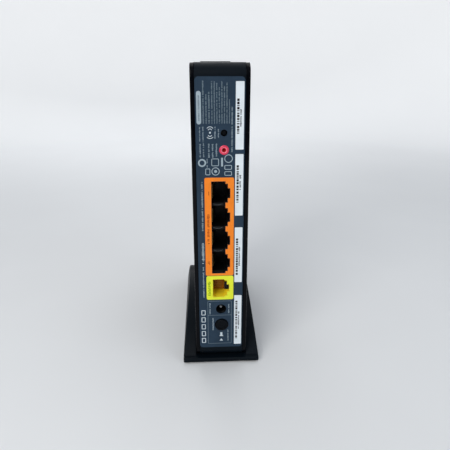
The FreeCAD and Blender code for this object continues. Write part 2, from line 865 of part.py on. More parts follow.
def light_parts():
    """Side-firing lamps on the board edge and the clear piece that carries their light."""
    lamps = []
    fingers = []
    edge = S["board_front"]
    for step, z in enumerate(light_heights()):
        low = (BOARD_FACE - 1.6, edge - 2.0, z - 1.6)
        lamps.append(box(f"lamp_{step}", low, (BOARD_FACE, edge - 0.2, z + 1.6)))
        finger_low = (BOARD_FACE - 3.4, edge + 0.2, z - 1.8)
        fingers.append(box(f"finger_{step}", finger_low, (BOARD_FACE, edge + 4.0, z + 1.8)))
    rail_low = (-3.0, edge + 3.2, S["lens_bottom"] + 2.0)
    rail = box("pipe_rail", rail_low, (BOARD_FACE, edge + 6.2, S["lens_top"] - 2.0))
    as_node(group("status_lamps", lamps), "status_lamps")
    as_node(fuse("light_pipe", [rail] + fingers), "light_pipe")


# --------------------------------------------------------------------- board

def main_board():
    """The circuit board, standing parallel to the broad sides."""
    body = new_body("main_board")
    middle_y = (S["board_rear"] + S["board_front"]) / 2
    middle_z = (S["board_bottom"] + S["board_top"]) / 2
    outline = side_sketch(body, "board_outline", middle_y, middle_z, BOARD_FACE)
    long_side = S["board_front"] - S["board_rear"]
    rounded_rectangle(outline, long_side, S["board_top"] - S["board_bottom"], 2.0)
    pad(body, outline, S["board_thick"])
    holes(body, "board_holes", BOARD_SCREWS, S["screw_shank"] + S["shank_gap"], BOARD_BACK, 3.0, False)


CHIPS = (
    # name, y, z, length along Y, length along Z, thickness
    ("processor", 8.0, 92.0, 19.0, 19.0, 1.4),
    ("radio_chip", 20.0, 138.0, 10.0, 10.0, 1.0),
    ("memory_chip", 8.0, 64.0, 10.0, 14.0, 1.1),
    ("flash_chip", 34.0, 92.0, 8.0, 8.0, 1.8),
    ("lan_magnetics", -24.0, 92.0, 9.0, 28.0, 6.0),
    ("wan_magnetics", -24.0, 54.0, 9.0, 14.0, 6.0),
)
CAPACITORS = ((-12.0, 26.0), (-2.0, 26.0), (8.0, 26.0), (-12.0, 38.0))
CAPACITOR_WIDTH = 8.0
CAPACITOR_HEIGHT = 11.5
COILS = ((2.0, 42.0), (17.0, 42.0))
COIL_SIDE = 10.0
COIL_HEIGHT = 4.5
SINK_SIDE = 36.0
SINK_BASE = 2.4
SINK_FIN_HEIGHT = 9.0
SINK_FIN_THICK = 1.4
SINK_FINS = 9
THERMAL_PAD = 0.5
CAN_PLACE = (20.0, 138.0)
CAN_SIZE = (34.0, 24.0)
CAN_HEIGHT = 3.0
CAN_WALL = 0.4


def chip(name, y, z, long_side, high_side, thick):
    """A flat packaged part lying on the board."""
    low = (BOARD_FACE - thick, y - long_side / 2, z - high_side / 2)
    high = (BOARD_FACE, y + long_side / 2, z + high_side / 2)
    return as_node(box(name, low, high), name)


def heat_sink():
    """Finned block over the processor, with the pad that joins them."""
    _, y, z, pad_side, _, chip_top = CHIPS[0]
    base = BOARD_FACE - chip_top - THERMAL_PAD
    half = (pad_side - 1.0) / 2
    high = (BOARD_FACE - chip_top, y + half, z + half)
    as_node(box("thermal_pad", (base, y - half, z - half), high), "thermal_pad")
    body = new_body("heat_sink")
    seat = side_sketch(body, "sink_base", y, z, base)
    rectangle(seat, SINK_SIDE, SINK_SIDE)
    pad(body, seat, SINK_BASE, back=True)
    lowest = z - (SINK_SIDE - SINK_FIN_THICK) / 2
    fin = side_sketch(body, "sink_fin", y, lowest, base - SINK_BASE)
    rectangle(fin, SINK_SIDE, SINK_FIN_THICK)
    first = pad(body, fin, SINK_FIN_HEIGHT, back=True)
    pitch = (SINK_SIDE - SINK_FIN_THICK) / (SINK_FINS - 1)
    repeat(body, [first], "Z_Axis", pitch, SINK_FINS)


def shield_can():
    """A pressed lid over the radio chip, open towards the board."""
    y, z = CAN_PLACE
    length, height = CAN_SIZE
    body = new_body("shield_can")
    top = side_sketch(body, "can_top", y, z, BOARD_FACE)
    rounded_rectangle(top, length, height, 1.0)
    pad(body, top, CAN_HEIGHT, back=True)
    inside = side_sketch(body, "can_inside", y, z, BOARD_FACE)
    rounded_rectangle(inside, length - CAN_WALL * 2, height - CAN_WALL * 2, 1.0 - CAN_WALL)
    pocket(body, inside, CAN_HEIGHT - CAN_WALL)


def antenna(name, y, z):
    """A folded metal aerial: a raised strip on two feet."""
    rise, half_length, half_height, sheet_thick = 8.0, 15.0, 3.0, 0.5
    high_x = BOARD_FACE - rise
    low = (high_x, y - half_length, z - half_height)
    high = (high_x + sheet_thick, y + half_length, z + half_height)
    strip = box(name + "_strip", low, high)
    feet = []
    for step, offset in enumerate((-half_length, -6.0)):
        low = (high_x, y + offset, z - half_height / 2)
        high = (BOARD_FACE, y + offset + 0.6, z + half_height / 2)
        feet.append(box(f"{name}_foot_{step}", low, high))
    as_node(fuse(name, [strip] + feet), name)


def board_parts():
    """The chips and the remaining parts soldered to the board."""
    for row in CHIPS:
        chip(*row)
    crystal = box("crystal_block", (BOARD_FACE - 3.4, 30.0, 106.0), (BOARD_FACE, 34.6, 117.0))
    left = (BOARD_FACE - 3.4).value
    as_node(soften("crystal", crystal, 0.8, lambda p: near(p.x, left)), "crystal")
    top = BOARD_FACE - CAPACITOR_HEIGHT
    cans = []
    for step, (y, z) in enumerate(CAPACITORS):
        can = rod(f"capacitor_rod_{step}", "x", CAPACITOR_WIDTH, CAPACITOR_HEIGHT, (top, y, z))
        cans.append(soften(f"capacitor_{step}", can, 0.7, lambda p: near(p.x, top.value)))
    as_node(group("capacitors", cans), "capacitors")
    half = COIL_SIDE / 2
    coils = []
    for step, (y, z) in enumerate(COILS):
        low = (BOARD_FACE - COIL_HEIGHT, y - half, z - half)
        coils.append(box(f"coil_{step}", low, (BOARD_FACE, y + half, z + half)))
    as_node(group("inductors", coils), "inductors")
    antenna("upper_antenna", -18.0, 151.0)
    antenna("lower_antenna", 22.0, 154.5)


# --------------------------------------------------------------------- fasteners

RECESS_DEPTH = 0.7
RECESS_ARM = 1.5
RECESS_HALF = 0.3


def screws(name, places, axis, head_at, shank_length, head_thick, direction):
    """Identical pan-head screws with a crossed recess, along X or Z."""
    made = []
    for step, (a, b) in enumerate(places):
        part = f"{name}_{step}"
        made.append(screw(part, a, b, axis, sized(head_at), shank_length, head_thick, direction))
    as_node(group(name, made), name)


def screw(name, a, b, axis, head_at, shank_length, head_thick, direction):
    """One screw whose head's outer face is at head_at and whose shank runs along direction."""
    along = "xyz".index(axis)
    across = [index for index in range(3) if index != along]

    def point(distance):
        return (distance, a, b) if along == 0 else (a, b, distance)

    inner = head_at + head_thick * direction
    head_start = head_at if direction > 0 else inner
    shank_start = inner if direction > 0 else inner - shank_length
    head = rod(name + "_head", axis, S["screw_head"], head_thick, point(head_start))
    shank = rod(name + "_shank", axis, S["screw_shank"], shank_length, point(shank_start))
    whole = fuse(name + "_whole", [head, shank])
    start = head_at if direction > 0 else head_at - RECESS_DEPTH
    arms = []
    for step, reaches in enumerate(((RECESS_ARM, RECESS_HALF), (RECESS_HALF, RECESS_ARM))):
        low, high = list(point(start)), list(point(start + RECESS_DEPTH))
        for index, reach in zip(across, reaches):
            low[index] = sized(low[index]) - reach
            high[index] = sized(high[index]) + reach
        arms.append(box(f"{name}_recess_{step}", low, high))
    return cut(name, whole, fuse(name + "_cross", arms))


# ------------------------------------------------------------------------- stand

STAND_SCREWS = [(x, y) for x in (-18.6, 18.6) for y in (-26.0, 26.0)]
FEET = [(x, y) for x in (-17.0, 17.0) for y in (-51.0, 51.0)]
STAND_HALF = S["stand_width"] / 2
CHEEK_ROUND = 0.8
THREAD_DEPTH = 9.0
SHANK_DEPTH = 5.0
HEAD_DEPTH = 1.5
FOOT_WIDTH = 9.0


def stand_base():
    """The flat plate under the router, with four countersunk screw holes."""
    body = new_body("stand_base")
    outline = top_sketch(body, "base_outline", 0.0, 0.0, S["foot_height"])
    rounded_rectangle(outline, S["stand_width"], S["stand_depth"], S["stand_corner"])
    pad(body, outline, S["base_top"] - S["foot_height"])
    low = S["foot_height"]
    round_edges(body, 0.5, lambda p: near(p.z, low) or near(p.z, S["base_top"]))
    shanks = top_sketch(body, "base_shanks", 0.0, 0.0, low)
    heads = top_sketch(body, "base_heads", 0.0, 0.0, low)
    for x, y in STAND_SCREWS:
        circle(shanks, S["screw_shank"] + S["shank_gap"], x, y)
        circle(heads, S["screw_head"] + S["head_gap"], x, y)
    pocket(body, shanks, SHANK_DEPTH, back=True)
    pocket(body, heads, HEAD_DEPTH, back=True)


def stand_cheek(name, hand):
    """One arched side of the stand, its outer face leaning in towards the top."""
    body = new_body(name)
    inner = SIDE + S["slide_gap"]
    start = inner * hand
    arch = side_sketch(body, name + "_arch", 0.0, S["cheek_peak"] - S["cheek_arc"], start)
    circle(arch, S["cheek_arc"] * 2)
    pad(body, arch, STAND_HALF - inner, back=hand < 0)
    below = side_sketch(body, name + "_below", 0.0, S["base_top"] - S["stand_depth"], start)
    rectangle(below, S["stand_depth"] * 2, S["stand_depth"] * 2)
    pocket(body, below, STAND_HALF, back=hand > 0)
    lean = rear_sketch(body, name + "_lean", 0.0, 0.0, 0.0)
    low, high = S["base_top"], S["cheek_peak"]
    foot, top = STAND_HALF * hand, S["cheek_top_width"] / 2 * hand
    far = STAND_HALF * hand * 2
    polygon(lean, [(foot, low), (far, low), (far, high), (top, high)])
    cut_both_ways(body, lean, S["stand_depth"] * 2)
    lean_rise = (S["cheek_peak"] - S["base_top"]).value
    lean_run = (STAND_HALF - S["cheek_top_width"] / 2).value

    def on_outer_rim(p):
        rise = p.z - S["base_top"].value
        leaning = STAND_HALF.value - lean_run * rise / lean_rise
        return abs(abs(p.x) - leaning) < 0.01 and on_arch(p)

    def on_arch(p):
        reach = math.hypot(p.y, p.z - (S["cheek_peak"] - S["cheek_arc"]).value)
        return abs(reach - S["cheek_arc"].value) < 0.01

    round_edges(body, CHEEK_ROUND, on_outer_rim)
    threads = top_sketch(body, name + "_threads", 0.0, 0.0, S["base_top"])
    for x, y in STAND_SCREWS:
        if x * hand > 0:
            circle(threads, S["screw_shank"] + S["thread_gap"], x, y)
    pocket(body, threads, THREAD_DEPTH, back=True)


def stand_feet():
    """Four round rubber feet under the plate."""
    pads = [
        rod(f"foot_{step}", "z", FOOT_WIDTH, S["foot_height"], (x, y, 0.0))
        for step, (x, y) in enumerate(FEET)
    ]
    as_node(group("stand_feet", pads), "stand_feet")


# ------------------------------------------------------------------------- build

def build():
    centre_frame()
    left_lid()
    right_lid()
    rear_label()
    stickers()
    jack_housing("lan_jack", S["lan_middle"], PORTS)
    jack_contacts("lan_contacts", S["lan_middle"], PORTS, 8)
    jack_housing("wan_jack", S["wan_middle"], 1)
    jack_contacts("wan_contacts", S["wan_middle"], 1, 4)
    dc_jack()
    power_parts()
    small_buttons()
    pairing_parts()
    front_lens()
    light_parts()
    main_board()
    heat_sink()
    shield_can()
    board_parts()
    screws("cover_screws", COVER_SCREWS, "x", SIDE / 2 + 2.0, 12.0, 2.0, -1)
    screws("board_screws", BOARD_SCREWS, "x", BOARD_FACE - 1.8, 6.0, 1.8, 1)
    stand_base()
    stand_cheek("stand_left_cheek", -1)
    stand_cheek("stand_right_cheek", 1)
    screws("stand_screws", STAND_SCREWS, "z", S["foot_height"] + 0.1, 9.5, 1.4, 1)
    stand_feet()


def check():
    """Stop on any feature that failed or any empty shape."""
    doc.recompute()
    for item in doc.Objects:
        if "Invalid" in item.State or "Error" in item.State:
            raise ValueError(f"{item.Name} did not build: {item.State}")
    for node in nodes:
        if node.Shape.isNull() or not node.Shape.isValid() or not node.Shape.Solids:
            raise ValueError(f"{node.Label} has no sound solid")


build()
check()
os.makedirs("parts", exist_ok=True)
for node in nodes:
    node.Shape.exportStep(f"parts/{node.Label}.step")
    print(node.Label, len(node.Shape.Solids), round(node.Shape.Volume, 1))
print(len(nodes), "nodes")
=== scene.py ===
import json
import math
import random

import bmesh
import bpy
from mathutils import Matrix, Vector


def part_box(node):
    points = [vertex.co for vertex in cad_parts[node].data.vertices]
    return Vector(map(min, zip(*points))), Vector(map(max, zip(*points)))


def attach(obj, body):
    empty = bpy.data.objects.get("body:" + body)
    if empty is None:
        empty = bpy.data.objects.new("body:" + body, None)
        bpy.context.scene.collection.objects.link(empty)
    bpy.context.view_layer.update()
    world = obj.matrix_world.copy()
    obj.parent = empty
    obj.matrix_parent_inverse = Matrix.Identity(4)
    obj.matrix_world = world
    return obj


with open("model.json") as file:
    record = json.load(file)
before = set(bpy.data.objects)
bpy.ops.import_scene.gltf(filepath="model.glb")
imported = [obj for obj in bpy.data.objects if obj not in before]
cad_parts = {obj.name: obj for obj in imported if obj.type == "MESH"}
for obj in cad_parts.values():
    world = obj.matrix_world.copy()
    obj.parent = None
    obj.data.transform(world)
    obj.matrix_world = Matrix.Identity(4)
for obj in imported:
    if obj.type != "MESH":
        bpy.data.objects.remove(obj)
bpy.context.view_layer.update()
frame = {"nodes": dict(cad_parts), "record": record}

# Looks for the upright router.  +Z is up and the socket face looks towards -Y.  Lengths are in
# millimetres, and MM turns them into metres, but the studio at the end is in metres throughout.

MM = 0.001


def box_mm(node):
    low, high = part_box(node)
    return Vector(low) / MM, Vector(high) / MM


LAN_LOW, LAN_HIGH = box_mm("lan_jack")
WAN_LOW, WAN_HIGH = box_mm("wan_jack")
LABEL_LOW = box_mm("rear_label")[0]
LABEL_LEFT, FACE = LABEL_LOW.x, LABEL_LOW.y
PRINT = 0.04
THIN_PRINT = 0.03

# The coloured fields across the label, and the socket openings cut in them.
FIELD_LEFT, FIELD_RIGHT = -8.85, 7.35
SLOT_LEFT, SLOT_RIGHT = -4.9, 2.4
LATCH_WIDE, LATCH_NARROW, LATCH_STEP = 10.2, 5.0, 1.3
PORT_PITCH, PORT_LENGTH = 13.97, 11.9
LAN_MIDDLE = (LAN_LOW.z + LAN_HIGH.z) / 2
LAN_CENTRES = [LAN_MIDDLE + PORT_PITCH * (step - 1.5) for step in range(4)]
LAN_HALF = (3 * PORT_PITCH + PORT_LENGTH + 1.0) / 2
WAN_MIDDLE = (WAN_LOW.z + WAN_HIGH.z) / 2
WAN_HALF = PORT_LENGTH / 2
LAN_GAP, WAN_GAP = 0.3, 0.02

# Inside the single socket: how deep the carrier and the notch plate lie behind its front, half the
# carrier's height, its ribs, and the gaps of the collar's outer and inner outlines to the opening.
# The carrier, its ribs and the notch plate are painted shade for the shadowed far end and latch notch.
SHADED_CARRIER_DEPTH, SHADED_CARRIER_HALF, SHADED_CARRIER_THICK = 8.6, 5.7, 0.2
RIB_COUNT, RIB_PITCH, RIB_LENGTH, RIB_THICK = 8, 1.14, 4.6, 0.5
NOTCH_SHADE_DEPTH = 1.8
COLLAR_OUT, COLLAR_IN = -0.03, -0.22

LIGHT_COUNT, LIGHT_PITCH = 5, 17.0


# --------------------------------------------------------------------- materials

class Shade:
    """A small wrapper that builds one Principled material out of procedural nodes."""

    def __init__(self, name):
        self.material = bpy.data.materials.new(name)
        self.material.use_nodes = True
        self.tree = self.material.node_tree
        self.shader = self.tree.nodes["Principled BSDF"]
        self.coords = self.add("ShaderNodeTexCoord").outputs["Object"]

    def add(self, kind, **settings):
        node = self.tree.nodes.new(kind)
        for name, value in settings.items():
            setattr(node, name, value)
        return node

    def link(self, source, socket):
        self.tree.links.new(source, socket)

    def noise(self, size_mm, detail=3.0, rough=0.55, stretch=None):
        """Noise with features of about this size, squeezed along each axis by stretch."""
        node = self.add("ShaderNodeTexNoise")
        node.inputs["Scale"].default_value = 1.0 / (size_mm * MM)
        node.inputs["Detail"].default_value = detail
        node.inputs["Roughness"].default_value = rough
        source = self.coords
        if stretch:
            mapping = self.add("ShaderNodeMapping")
            mapping.inputs["Scale"].default_value = stretch
            self.link(source, mapping.inputs["Vector"])
            source = mapping.outputs["Vector"]
        self.link(source, node.inputs["Vector"])
        return node.outputs["Fac"]

    def cells(self, size_mm):
        """Distance to the middle of the nearest of many scattered spots."""
        node = self.add("ShaderNodeTexVoronoi")
        node.inputs["Scale"].default_value = 1.0 / (size_mm * MM)
        self.link(self.coords, node.inputs["Vector"])
        return node.outputs["Distance"]

    def remap(self, value, low, high, to_low, to_high):
        """Turns the range low to high into to_low to to_high, and holds it there outside."""
        node = self.add("ShaderNodeMapRange")
        self.link(value, node.inputs["Value"])
        for name, number in (
            ("From Min", low),
            ("From Max", high),
            ("To Min", to_low),
            ("To Max", to_high),
        ):
            node.inputs[name].default_value = number
        return node.outputs["Result"]

    def mix(self, factor, first, second):
        """A colour between two, each a plain colour or a socket."""
        node = self.add("ShaderNodeMix", data_type="RGBA")
        self.link(factor, node.inputs[0])
        for socket, item in ((node.inputs[6], first), (node.inputs[7], second)):
            if isinstance(item, tuple):
                socket.default_value = item + (1.0,)
            else:
                self.link(item, socket)
        return node.outputs[2]

    def math(self, operation, first, second):
        """The result of an operation on two items, each a number or a socket."""
        node = self.add("ShaderNodeMath", operation=operation)
        for socket, item in zip(node.inputs, (first, second)):
            if isinstance(item, (int, float)):
                socket.default_value = item
            else:
                self.link(item, socket)
        return node.outputs[0]

    def edges(self, radius_mm):
        """A mask, 1 along edges and 0 on flat faces, and the normal that rounds those edges."""
        bevel = self.add("ShaderNodeBevel", samples=4)
        bevel.inputs["Radius"].default_value = radius_mm * MM
        plain = self.add("ShaderNodeNewGeometry")
        dot = self.add("ShaderNodeVectorMath", operation="DOT_PRODUCT")
        self.link(bevel.outputs["Normal"], dot.inputs[0])
        self.link(plain.outputs["Normal"], dot.inputs[1])
        return self.remap(dot.outputs["Value"], 0.98, 0.8, 0.0, 1.0), bevel.outputs["Normal"]

    def relief(self, layers, normal=None):
        """Chains height layers given as (socket, depth in millimetres) into the shader."""
        for height, depth in layers:
            bump = self.add("ShaderNodeBump")
            bump.inputs["Strength"].default_value = 1.0
            bump.inputs["Distance"].default_value = depth * MM
            self.link(height, bump.inputs["Height"])
            if normal is not None:
                self.link(normal, bump.inputs["Normal"])
            normal = bump.outputs["Normal"]
        self.link(normal, self.shader.inputs["Normal"])

    def colour(self, socket):
        self.link(socket, self.shader.inputs["Base Color"])

    def roughness(self, socket):
        self.link(socket, self.shader.inputs["Roughness"])

    def fixed(self, **values):
        """Sets numbers that are the same all over the surface on the shader's own sockets."""
        names = {
            "metallic": "Metallic",
            "specular": "Specular IOR Level",
            "coat": "Coat Weight",
            "clear": "Transmission Weight",
            "ior": "IOR",
        }
        for name, value in values.items():
            self.shader.inputs[names[name]].default_value = value
        return self


def linear(red, green, blue):
    """Screen colour, 0 to 255, as the linear triple the shader wants."""
    out = []
    for value in (red, green, blue):
        value /= 255.0
        out.append(value / 12.92 if value <= 0.04045 else ((value + 0.055) / 1.055) ** 2.4)
    return tuple(out)


def scaled(colour, factor):
    return tuple(channel * factor for channel in colour)


EDGE_MM = 0.25


def moulded(name, colour, rough, grain_mm=0.35, depth=0.012, wear=0.25, **fixed):
    """Moulded plastic: cloudy colour, spark-eroded grain, softened and slightly paler edges."""
    shade = Shade(name)
    cloud = shade.noise(22.0, 4.0)
    fine = shade.noise(grain_mm, 2.0, 0.6)
    edge, normal = shade.edges(EDGE_MM)
    dark, light = scaled(colour, 0.86), scaled(colour, 1.14)
    base = shade.mix(shade.remap(cloud, 0.3, 0.7, 0.0, 1.0), dark, light)
    speck = shade.remap(fine, 0.62, 0.78, 0.0, 0.35)
    base = shade.mix(speck, base, tuple(min(1.0, c * 1.5 + 0.004) for c in colour))
    pale = tuple(min(1.0, c * 1.6 + 0.012) for c in colour)
    shade.colour(shade.mix(shade.math("MULTIPLY", edge, wear), base, pale))
    smear = shade.noise(9.0, 5.0, 0.65)
    shade.roughness(shade.remap(smear, 0.25, 0.75, rough - 0.08, rough + 0.08))
    shade.relief([(fine, depth)], normal)
    return shade.fixed(**fixed).material


def glossy(name, colour, rough, **fixed):
    """Polished plastic with faint handling haze, dust specks and hairline scratches."""
    shade = Shade(name)
    haze = shade.noise(28.0, 6.0, 0.7)
    dust = shade.noise(0.45, 1.0)
    scratch = shade.noise(1.2, 3.0, 0.6, stretch=(1.0, 14.0, 1.0))
    edge, normal = shade.edges(EDGE_MM)
    dark, light = scaled(colour, 0.8), scaled(colour, 1.25)
    base = shade.mix(shade.remap(haze, 0.35, 0.75, 0.0, 1.0), dark, light)
    fleck = shade.remap(dust, 0.72, 0.78, 0.0, 0.45)
    base = shade.mix(fleck, base, tuple(c + 0.02 for c in colour))
    worn = tuple(c + 0.012 for c in colour)
    shade.colour(shade.mix(shade.math("MULTIPLY", edge, 0.2), base, worn))
    lines = shade.remap(scratch, 0.6, 0.75, 0.0, 0.12)
    clouds = shade.remap(haze, 0.3, 0.8, rough * 0.7, rough * 1.9)
    shade.roughness(shade.math("ADD", clouds, lines))
    shade.relief([(shade.noise(14.0, 2.0), 0.03), (scratch, 0.002)], normal)
    return shade.fixed(**fixed).material


def printed(name, colour, rough, mottle=0.12, **fixed):
    """Ink on a textured film: an even colour with screen-print mottle and a fine film grain."""
    shade = Shade(name)
    cloud = shade.noise(7.0, 5.0, 0.65)
    fine = shade.noise(0.22, 2.0, 0.6)
    both = shade.math("ADD", shade.math("MULTIPLY", cloud, 0.6), shade.math("MULTIPLY", fine, 0.4))
    low, high = scaled(colour, 1.0 - mottle), tuple(min(1.0, c * (1.0 + mottle)) for c in colour)
    shade.colour(shade.mix(shade.remap(both, 0.35, 0.65, 0.0, 1.0), low, high))
    shade.roughness(shade.remap(cloud, 0.25, 0.75, rough - 0.07, rough + 0.07))
    shade.relief([(fine, 0.006), (shade.noise(16.0, 2.0), 0.02)])
    return shade.fixed(**fixed).material


def paper(name, colour):
    """Coated sticker paper with soft fibres and a few grey specks."""
    shade = Shade(name)
    fibre = shade.noise(0.5, 4.0, 0.6, stretch=(1.0, 1.0, 0.35))
    cloud = shade.noise(6.0, 3.0)
    base = shade.mix(shade.remap(cloud, 0.3, 0.7, 0.0, 1.0), scaled(colour, 0.94), colour)
    base = shade.mix(shade.remap(fibre, 0.6, 0.8, 0.0, 0.25), base, scaled(colour, 0.8))
    shade.colour(base)
    shade.roughness(shade.remap(fibre, 0.3, 0.7, 0.45, 0.62))
    shade.relief([(fibre, 0.01)])
    return shade.material


def metal(name, colour, rough, grain=(1.0, 1.0, 1.0)):
    """Plated or bare metal with a drawn grain and dulled patches."""
    shade = Shade(name)
    grain_map = shade.noise(0.25, 4.0, 0.6, stretch=grain)
    patch = shade.noise(3.0, 4.0, 0.6)
    edge, normal = shade.edges(0.12)
    base = shade.mix(shade.remap(patch, 0.3, 0.7, 0.0, 1.0), scaled(colour, 0.8), colour)
    worn = tuple(min(1.0, c * 1.2) for c in colour)
    shade.colour(shade.mix(shade.math("MULTIPLY", edge, 0.5), base, worn))
    spread = shade.math("ADD", shade.math("MULTIPLY", grain_map, 0.5), shade.math("MULTIPLY", patch, 0.5))
    shade.roughness(shade.remap(spread, 0.3, 0.7, rough - 0.08, rough + 0.12))
    shade.relief([(grain_map, 0.004)], normal)
    return shade.fixed(metallic=1.0).material


def board(name):
    """Solder mask with faint copper tracks and pads under it."""
    shade = Shade(name)
    track = shade.add("ShaderNodeTexBrick")
    track_pitch_mm = 9.0
    track.inputs["Scale"].default_value = 1.0 / (track_pitch_mm * MM)
    track.inputs["Mortar Size"].default_value = 0.03
    turn = shade.add("ShaderNodeMapping")
    turn.inputs["Rotation"].default_value = (0.0, math.pi / 2, 0.0)
    shade.link(shade.coords, turn.inputs["Vector"])
    shade.link(turn.outputs["Vector"], track.inputs["Vector"])
    dots = shade.remap(shade.cells(3.4), 0.12, 0.16, 1.0, 0.0)
    mask = shade.mix(track.outputs["Fac"], (0.012, 0.10, 0.035), (0.03, 0.19, 0.07))
    shade.colour(shade.mix(dots, mask, (0.55, 0.5, 0.35)))
    shade.roughness(shade.remap(shade.noise(4.0), 0.3, 0.7, 0.28, 0.42))
    shade.relief([(track.outputs["Fac"], 0.03), (dots, 0.02)])
    return shade.fixed(coat=0.3).material


def lamp_body(name):
    """Milky clear plastic."""
    shade = Shade(name)
    cloud = shade.noise(3.0, 3.0)
    shade.colour(shade.mix(cloud, (0.62, 0.66, 0.7), (0.86, 0.88, 0.9)))
    shade.roughness(shade.remap(cloud, 0.3, 0.7, 0.25, 0.4))
    shade.relief([(shade.noise(0.4), 0.008)])
    return shade.fixed(clear=0.35, ior=1.49).material


# moulded(name, colour, roughness, grain size, grain depth); printed(name, colour, roughness, mottle);
# glossy and metal(name, colour, roughness)
MATERIALS = {
    "black_gloss": glossy("black_gloss", linear(4, 5, 9), 0.14, specular=0.1),
    "black_matte": moulded("black_matte", linear(5, 14, 22), 0.5, 0.4, 0.014, specular=0.1),
    "label_print": printed("label_print", linear(40, 57, 74), 0.46, specular=0.13),
    "white_paper": paper("white_paper", linear(224, 233, 239)),
    "socket_black": moulded("socket_black", linear(13, 13, 14), 0.4, 0.5, 0.006, specular=0.15),
    "socket_yellow": moulded("socket_yellow", linear(255, 230, 44), 0.38, 0.5, 0.006, wear=0.1),
    "contact_gold": metal("contact_gold", (0.62, 0.44, 0.17), 0.3),
    "bright_metal": metal("bright_metal", (0.30, 0.31, 0.32), 0.42, grain=(1.0, 6.0, 1.0)),
    "button_black": moulded("button_black", linear(4, 8, 14), 0.45, 0.3, 0.01, specular=0.1),
    "switch_body": moulded("switch_body", linear(34, 35, 38), 0.5, 0.4, 0.01, specular=0.3),
    "smoked_lens": glossy("smoked_lens", linear(16, 18, 22), 0.08, specular=0.4),
    "lamp_clear": lamp_body("lamp_clear"),
    "board_green": board("board_green"),
    "chip_black": moulded("chip_black", linear(32, 33, 35), 0.55, 0.25, 0.012, specular=0.3),
    "pad_grey": moulded("pad_grey", linear(150, 153, 156), 0.8, 0.3, 0.02, specular=0.3),
    "sink_aluminium": metal("sink_aluminium", (0.62, 0.63, 0.65), 0.38, grain=(1.0, 0.1, 1.0)),
    "screw_steel": metal("screw_steel", (0.5, 0.5, 0.5), 0.34),
    "stand_black": moulded(
        "stand_black", linear(6, 14, 21), 0.5, 0.45, 0.016, wear=0.3, specular=0.1
    ),
    "foot_rubber": moulded("foot_rubber", linear(25, 25, 26), 0.85, 0.5, 0.03, specular=0.2),
}
# what the small added pieces are made of, by a short name
INKS = {
    "orange": printed("ink_orange", linear(242, 133, 38), 0.42, 0.06, specular=0.2),
    "orange_dark": printed("ink_orange_dark", linear(172, 70, 4), 0.45, 0.1, specular=0.2),
    "yellow": printed("ink_yellow", linear(224, 232, 56), 0.42, 0.05, specular=0.2),
    "green": printed("ink_green", linear(140, 166, 8), 0.45, 0.1, specular=0.2),
    "pale": printed("ink_pale", linear(196, 208, 216), 0.45, 0.08, specular=0.2),
    "soft": printed("ink_soft", linear(158, 174, 184), 0.45, 0.1, specular=0.2),
    "faint": printed("ink_faint", linear(138, 154, 165), 0.45, 0.1, specular=0.2),
    "dim": printed("ink_dim", linear(98, 114, 126), 0.45, 0.1, specular=0.2),
    "note": printed("ink_note", linear(114, 130, 140), 0.45, 0.1, specular=0.2),
    "red": printed("ink_red", linear(222, 58, 88), 0.25, 0.1, specular=0.5),
    # painted highlight: pale grey for the light caught on the front edges of the socket dividers
    "lip_highlight": moulded("socket_lip_highlight", linear(72, 74, 78), 0.3, 0.3, 0.004, specular=0.3),
    # painted highlight: a paler red for the lit inner slope of the reset ring
    "pink_highlight": printed("ink_pink_highlight", linear(240, 118, 138), 0.25, 0.1, specular=0.5),
    # painted shade: dark red for the shaded wall and floor of the pin hole
    "crimson_shade": printed("ink_crimson_shade", linear(172, 0, 8), 0.4, 0.1, specular=0.2),
    # painted shade: dark brownish yellow for the shadowed far end of the yellow socket
    "amber_shade": moulded("socket_amber_shade", linear(162, 98, 18), 0.5, 0.3, 0.008, specular=0.2),
    # painted shade: brown for the contacts in that shadowed far end
    "rib_shade": moulded("socket_rib_shade", linear(168, 122, 52), 0.45, 0.3, 0.006, specular=0.3),
    "black": printed("ink_black", linear(12, 13, 16), 0.5, 0.15, specular=0.2),
    "grey": printed("ink_grey", linear(62, 66, 72), 0.5, 0.15, specular=0.2),
    "mark": printed("ink_mark", linear(92, 98, 106), 0.5, 0.1, specular=0.2),
    "collar": MATERIALS["socket_yellow"],
}


def dress_nodes():
    """Gives every CAD node the detailed material of its slot."""
    slots = {row["node"]: row["material_slot"] for row in frame["record"]["subparts"]}
    for name, item in frame["nodes"].items():
        for place in item.material_slots:
            place.material = MATERIALS[slots[name]]


# ----------------------------------------------------------------- printed artwork

def add_piece(name, mesh, material, body):
    """Puts a mesh into the scene, made of one material, riding on a CAD body."""
    piece = bpy.data.objects.new(name, mesh)
    bpy.context.scene.collection.objects.link(piece)
    mesh.materials.clear()
    mesh.materials.append(material)
    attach(piece, body)
    return piece


def flat_art(name, outlines, ink, face=FACE, thick=PRINT, body="router"):
    """Thin printed shapes from closed (x, z) outlines; an outline inside another is a hole."""
    curve = bpy.data.curves.new(name, "CURVE")
    curve.dimensions = "2D"
    curve.fill_mode = "BOTH"
    curve.extrude = thick / 2 * MM
    for outline in outlines:
        spline = curve.splines.new("POLY")
        spline.points.add(len(outline) - 1)
        for point, (x, z) in zip(spline.points, outline):
            point.co = (x * MM, z * MM, 0.0, 1.0)
        spline.use_cyclic_u = True
    drawn = bpy.data.objects.new(name + "_curve", curve)
    bpy.context.scene.collection.objects.link(drawn)
    graph = bpy.context.evaluated_depsgraph_get()
    mesh = bpy.data.meshes.new_from_object(drawn.evaluated_get(graph))
    bpy.data.objects.remove(drawn)
    bpy.data.curves.remove(curve)
    middle = (face - thick / 2) * MM
    mesh.transform(Matrix.Translation((0.0, middle, 0.0)) @ Matrix.Rotation(math.pi / 2, 4, "X"))
    mesh.name = name
    return add_piece(name, mesh, INKS[ink], body)


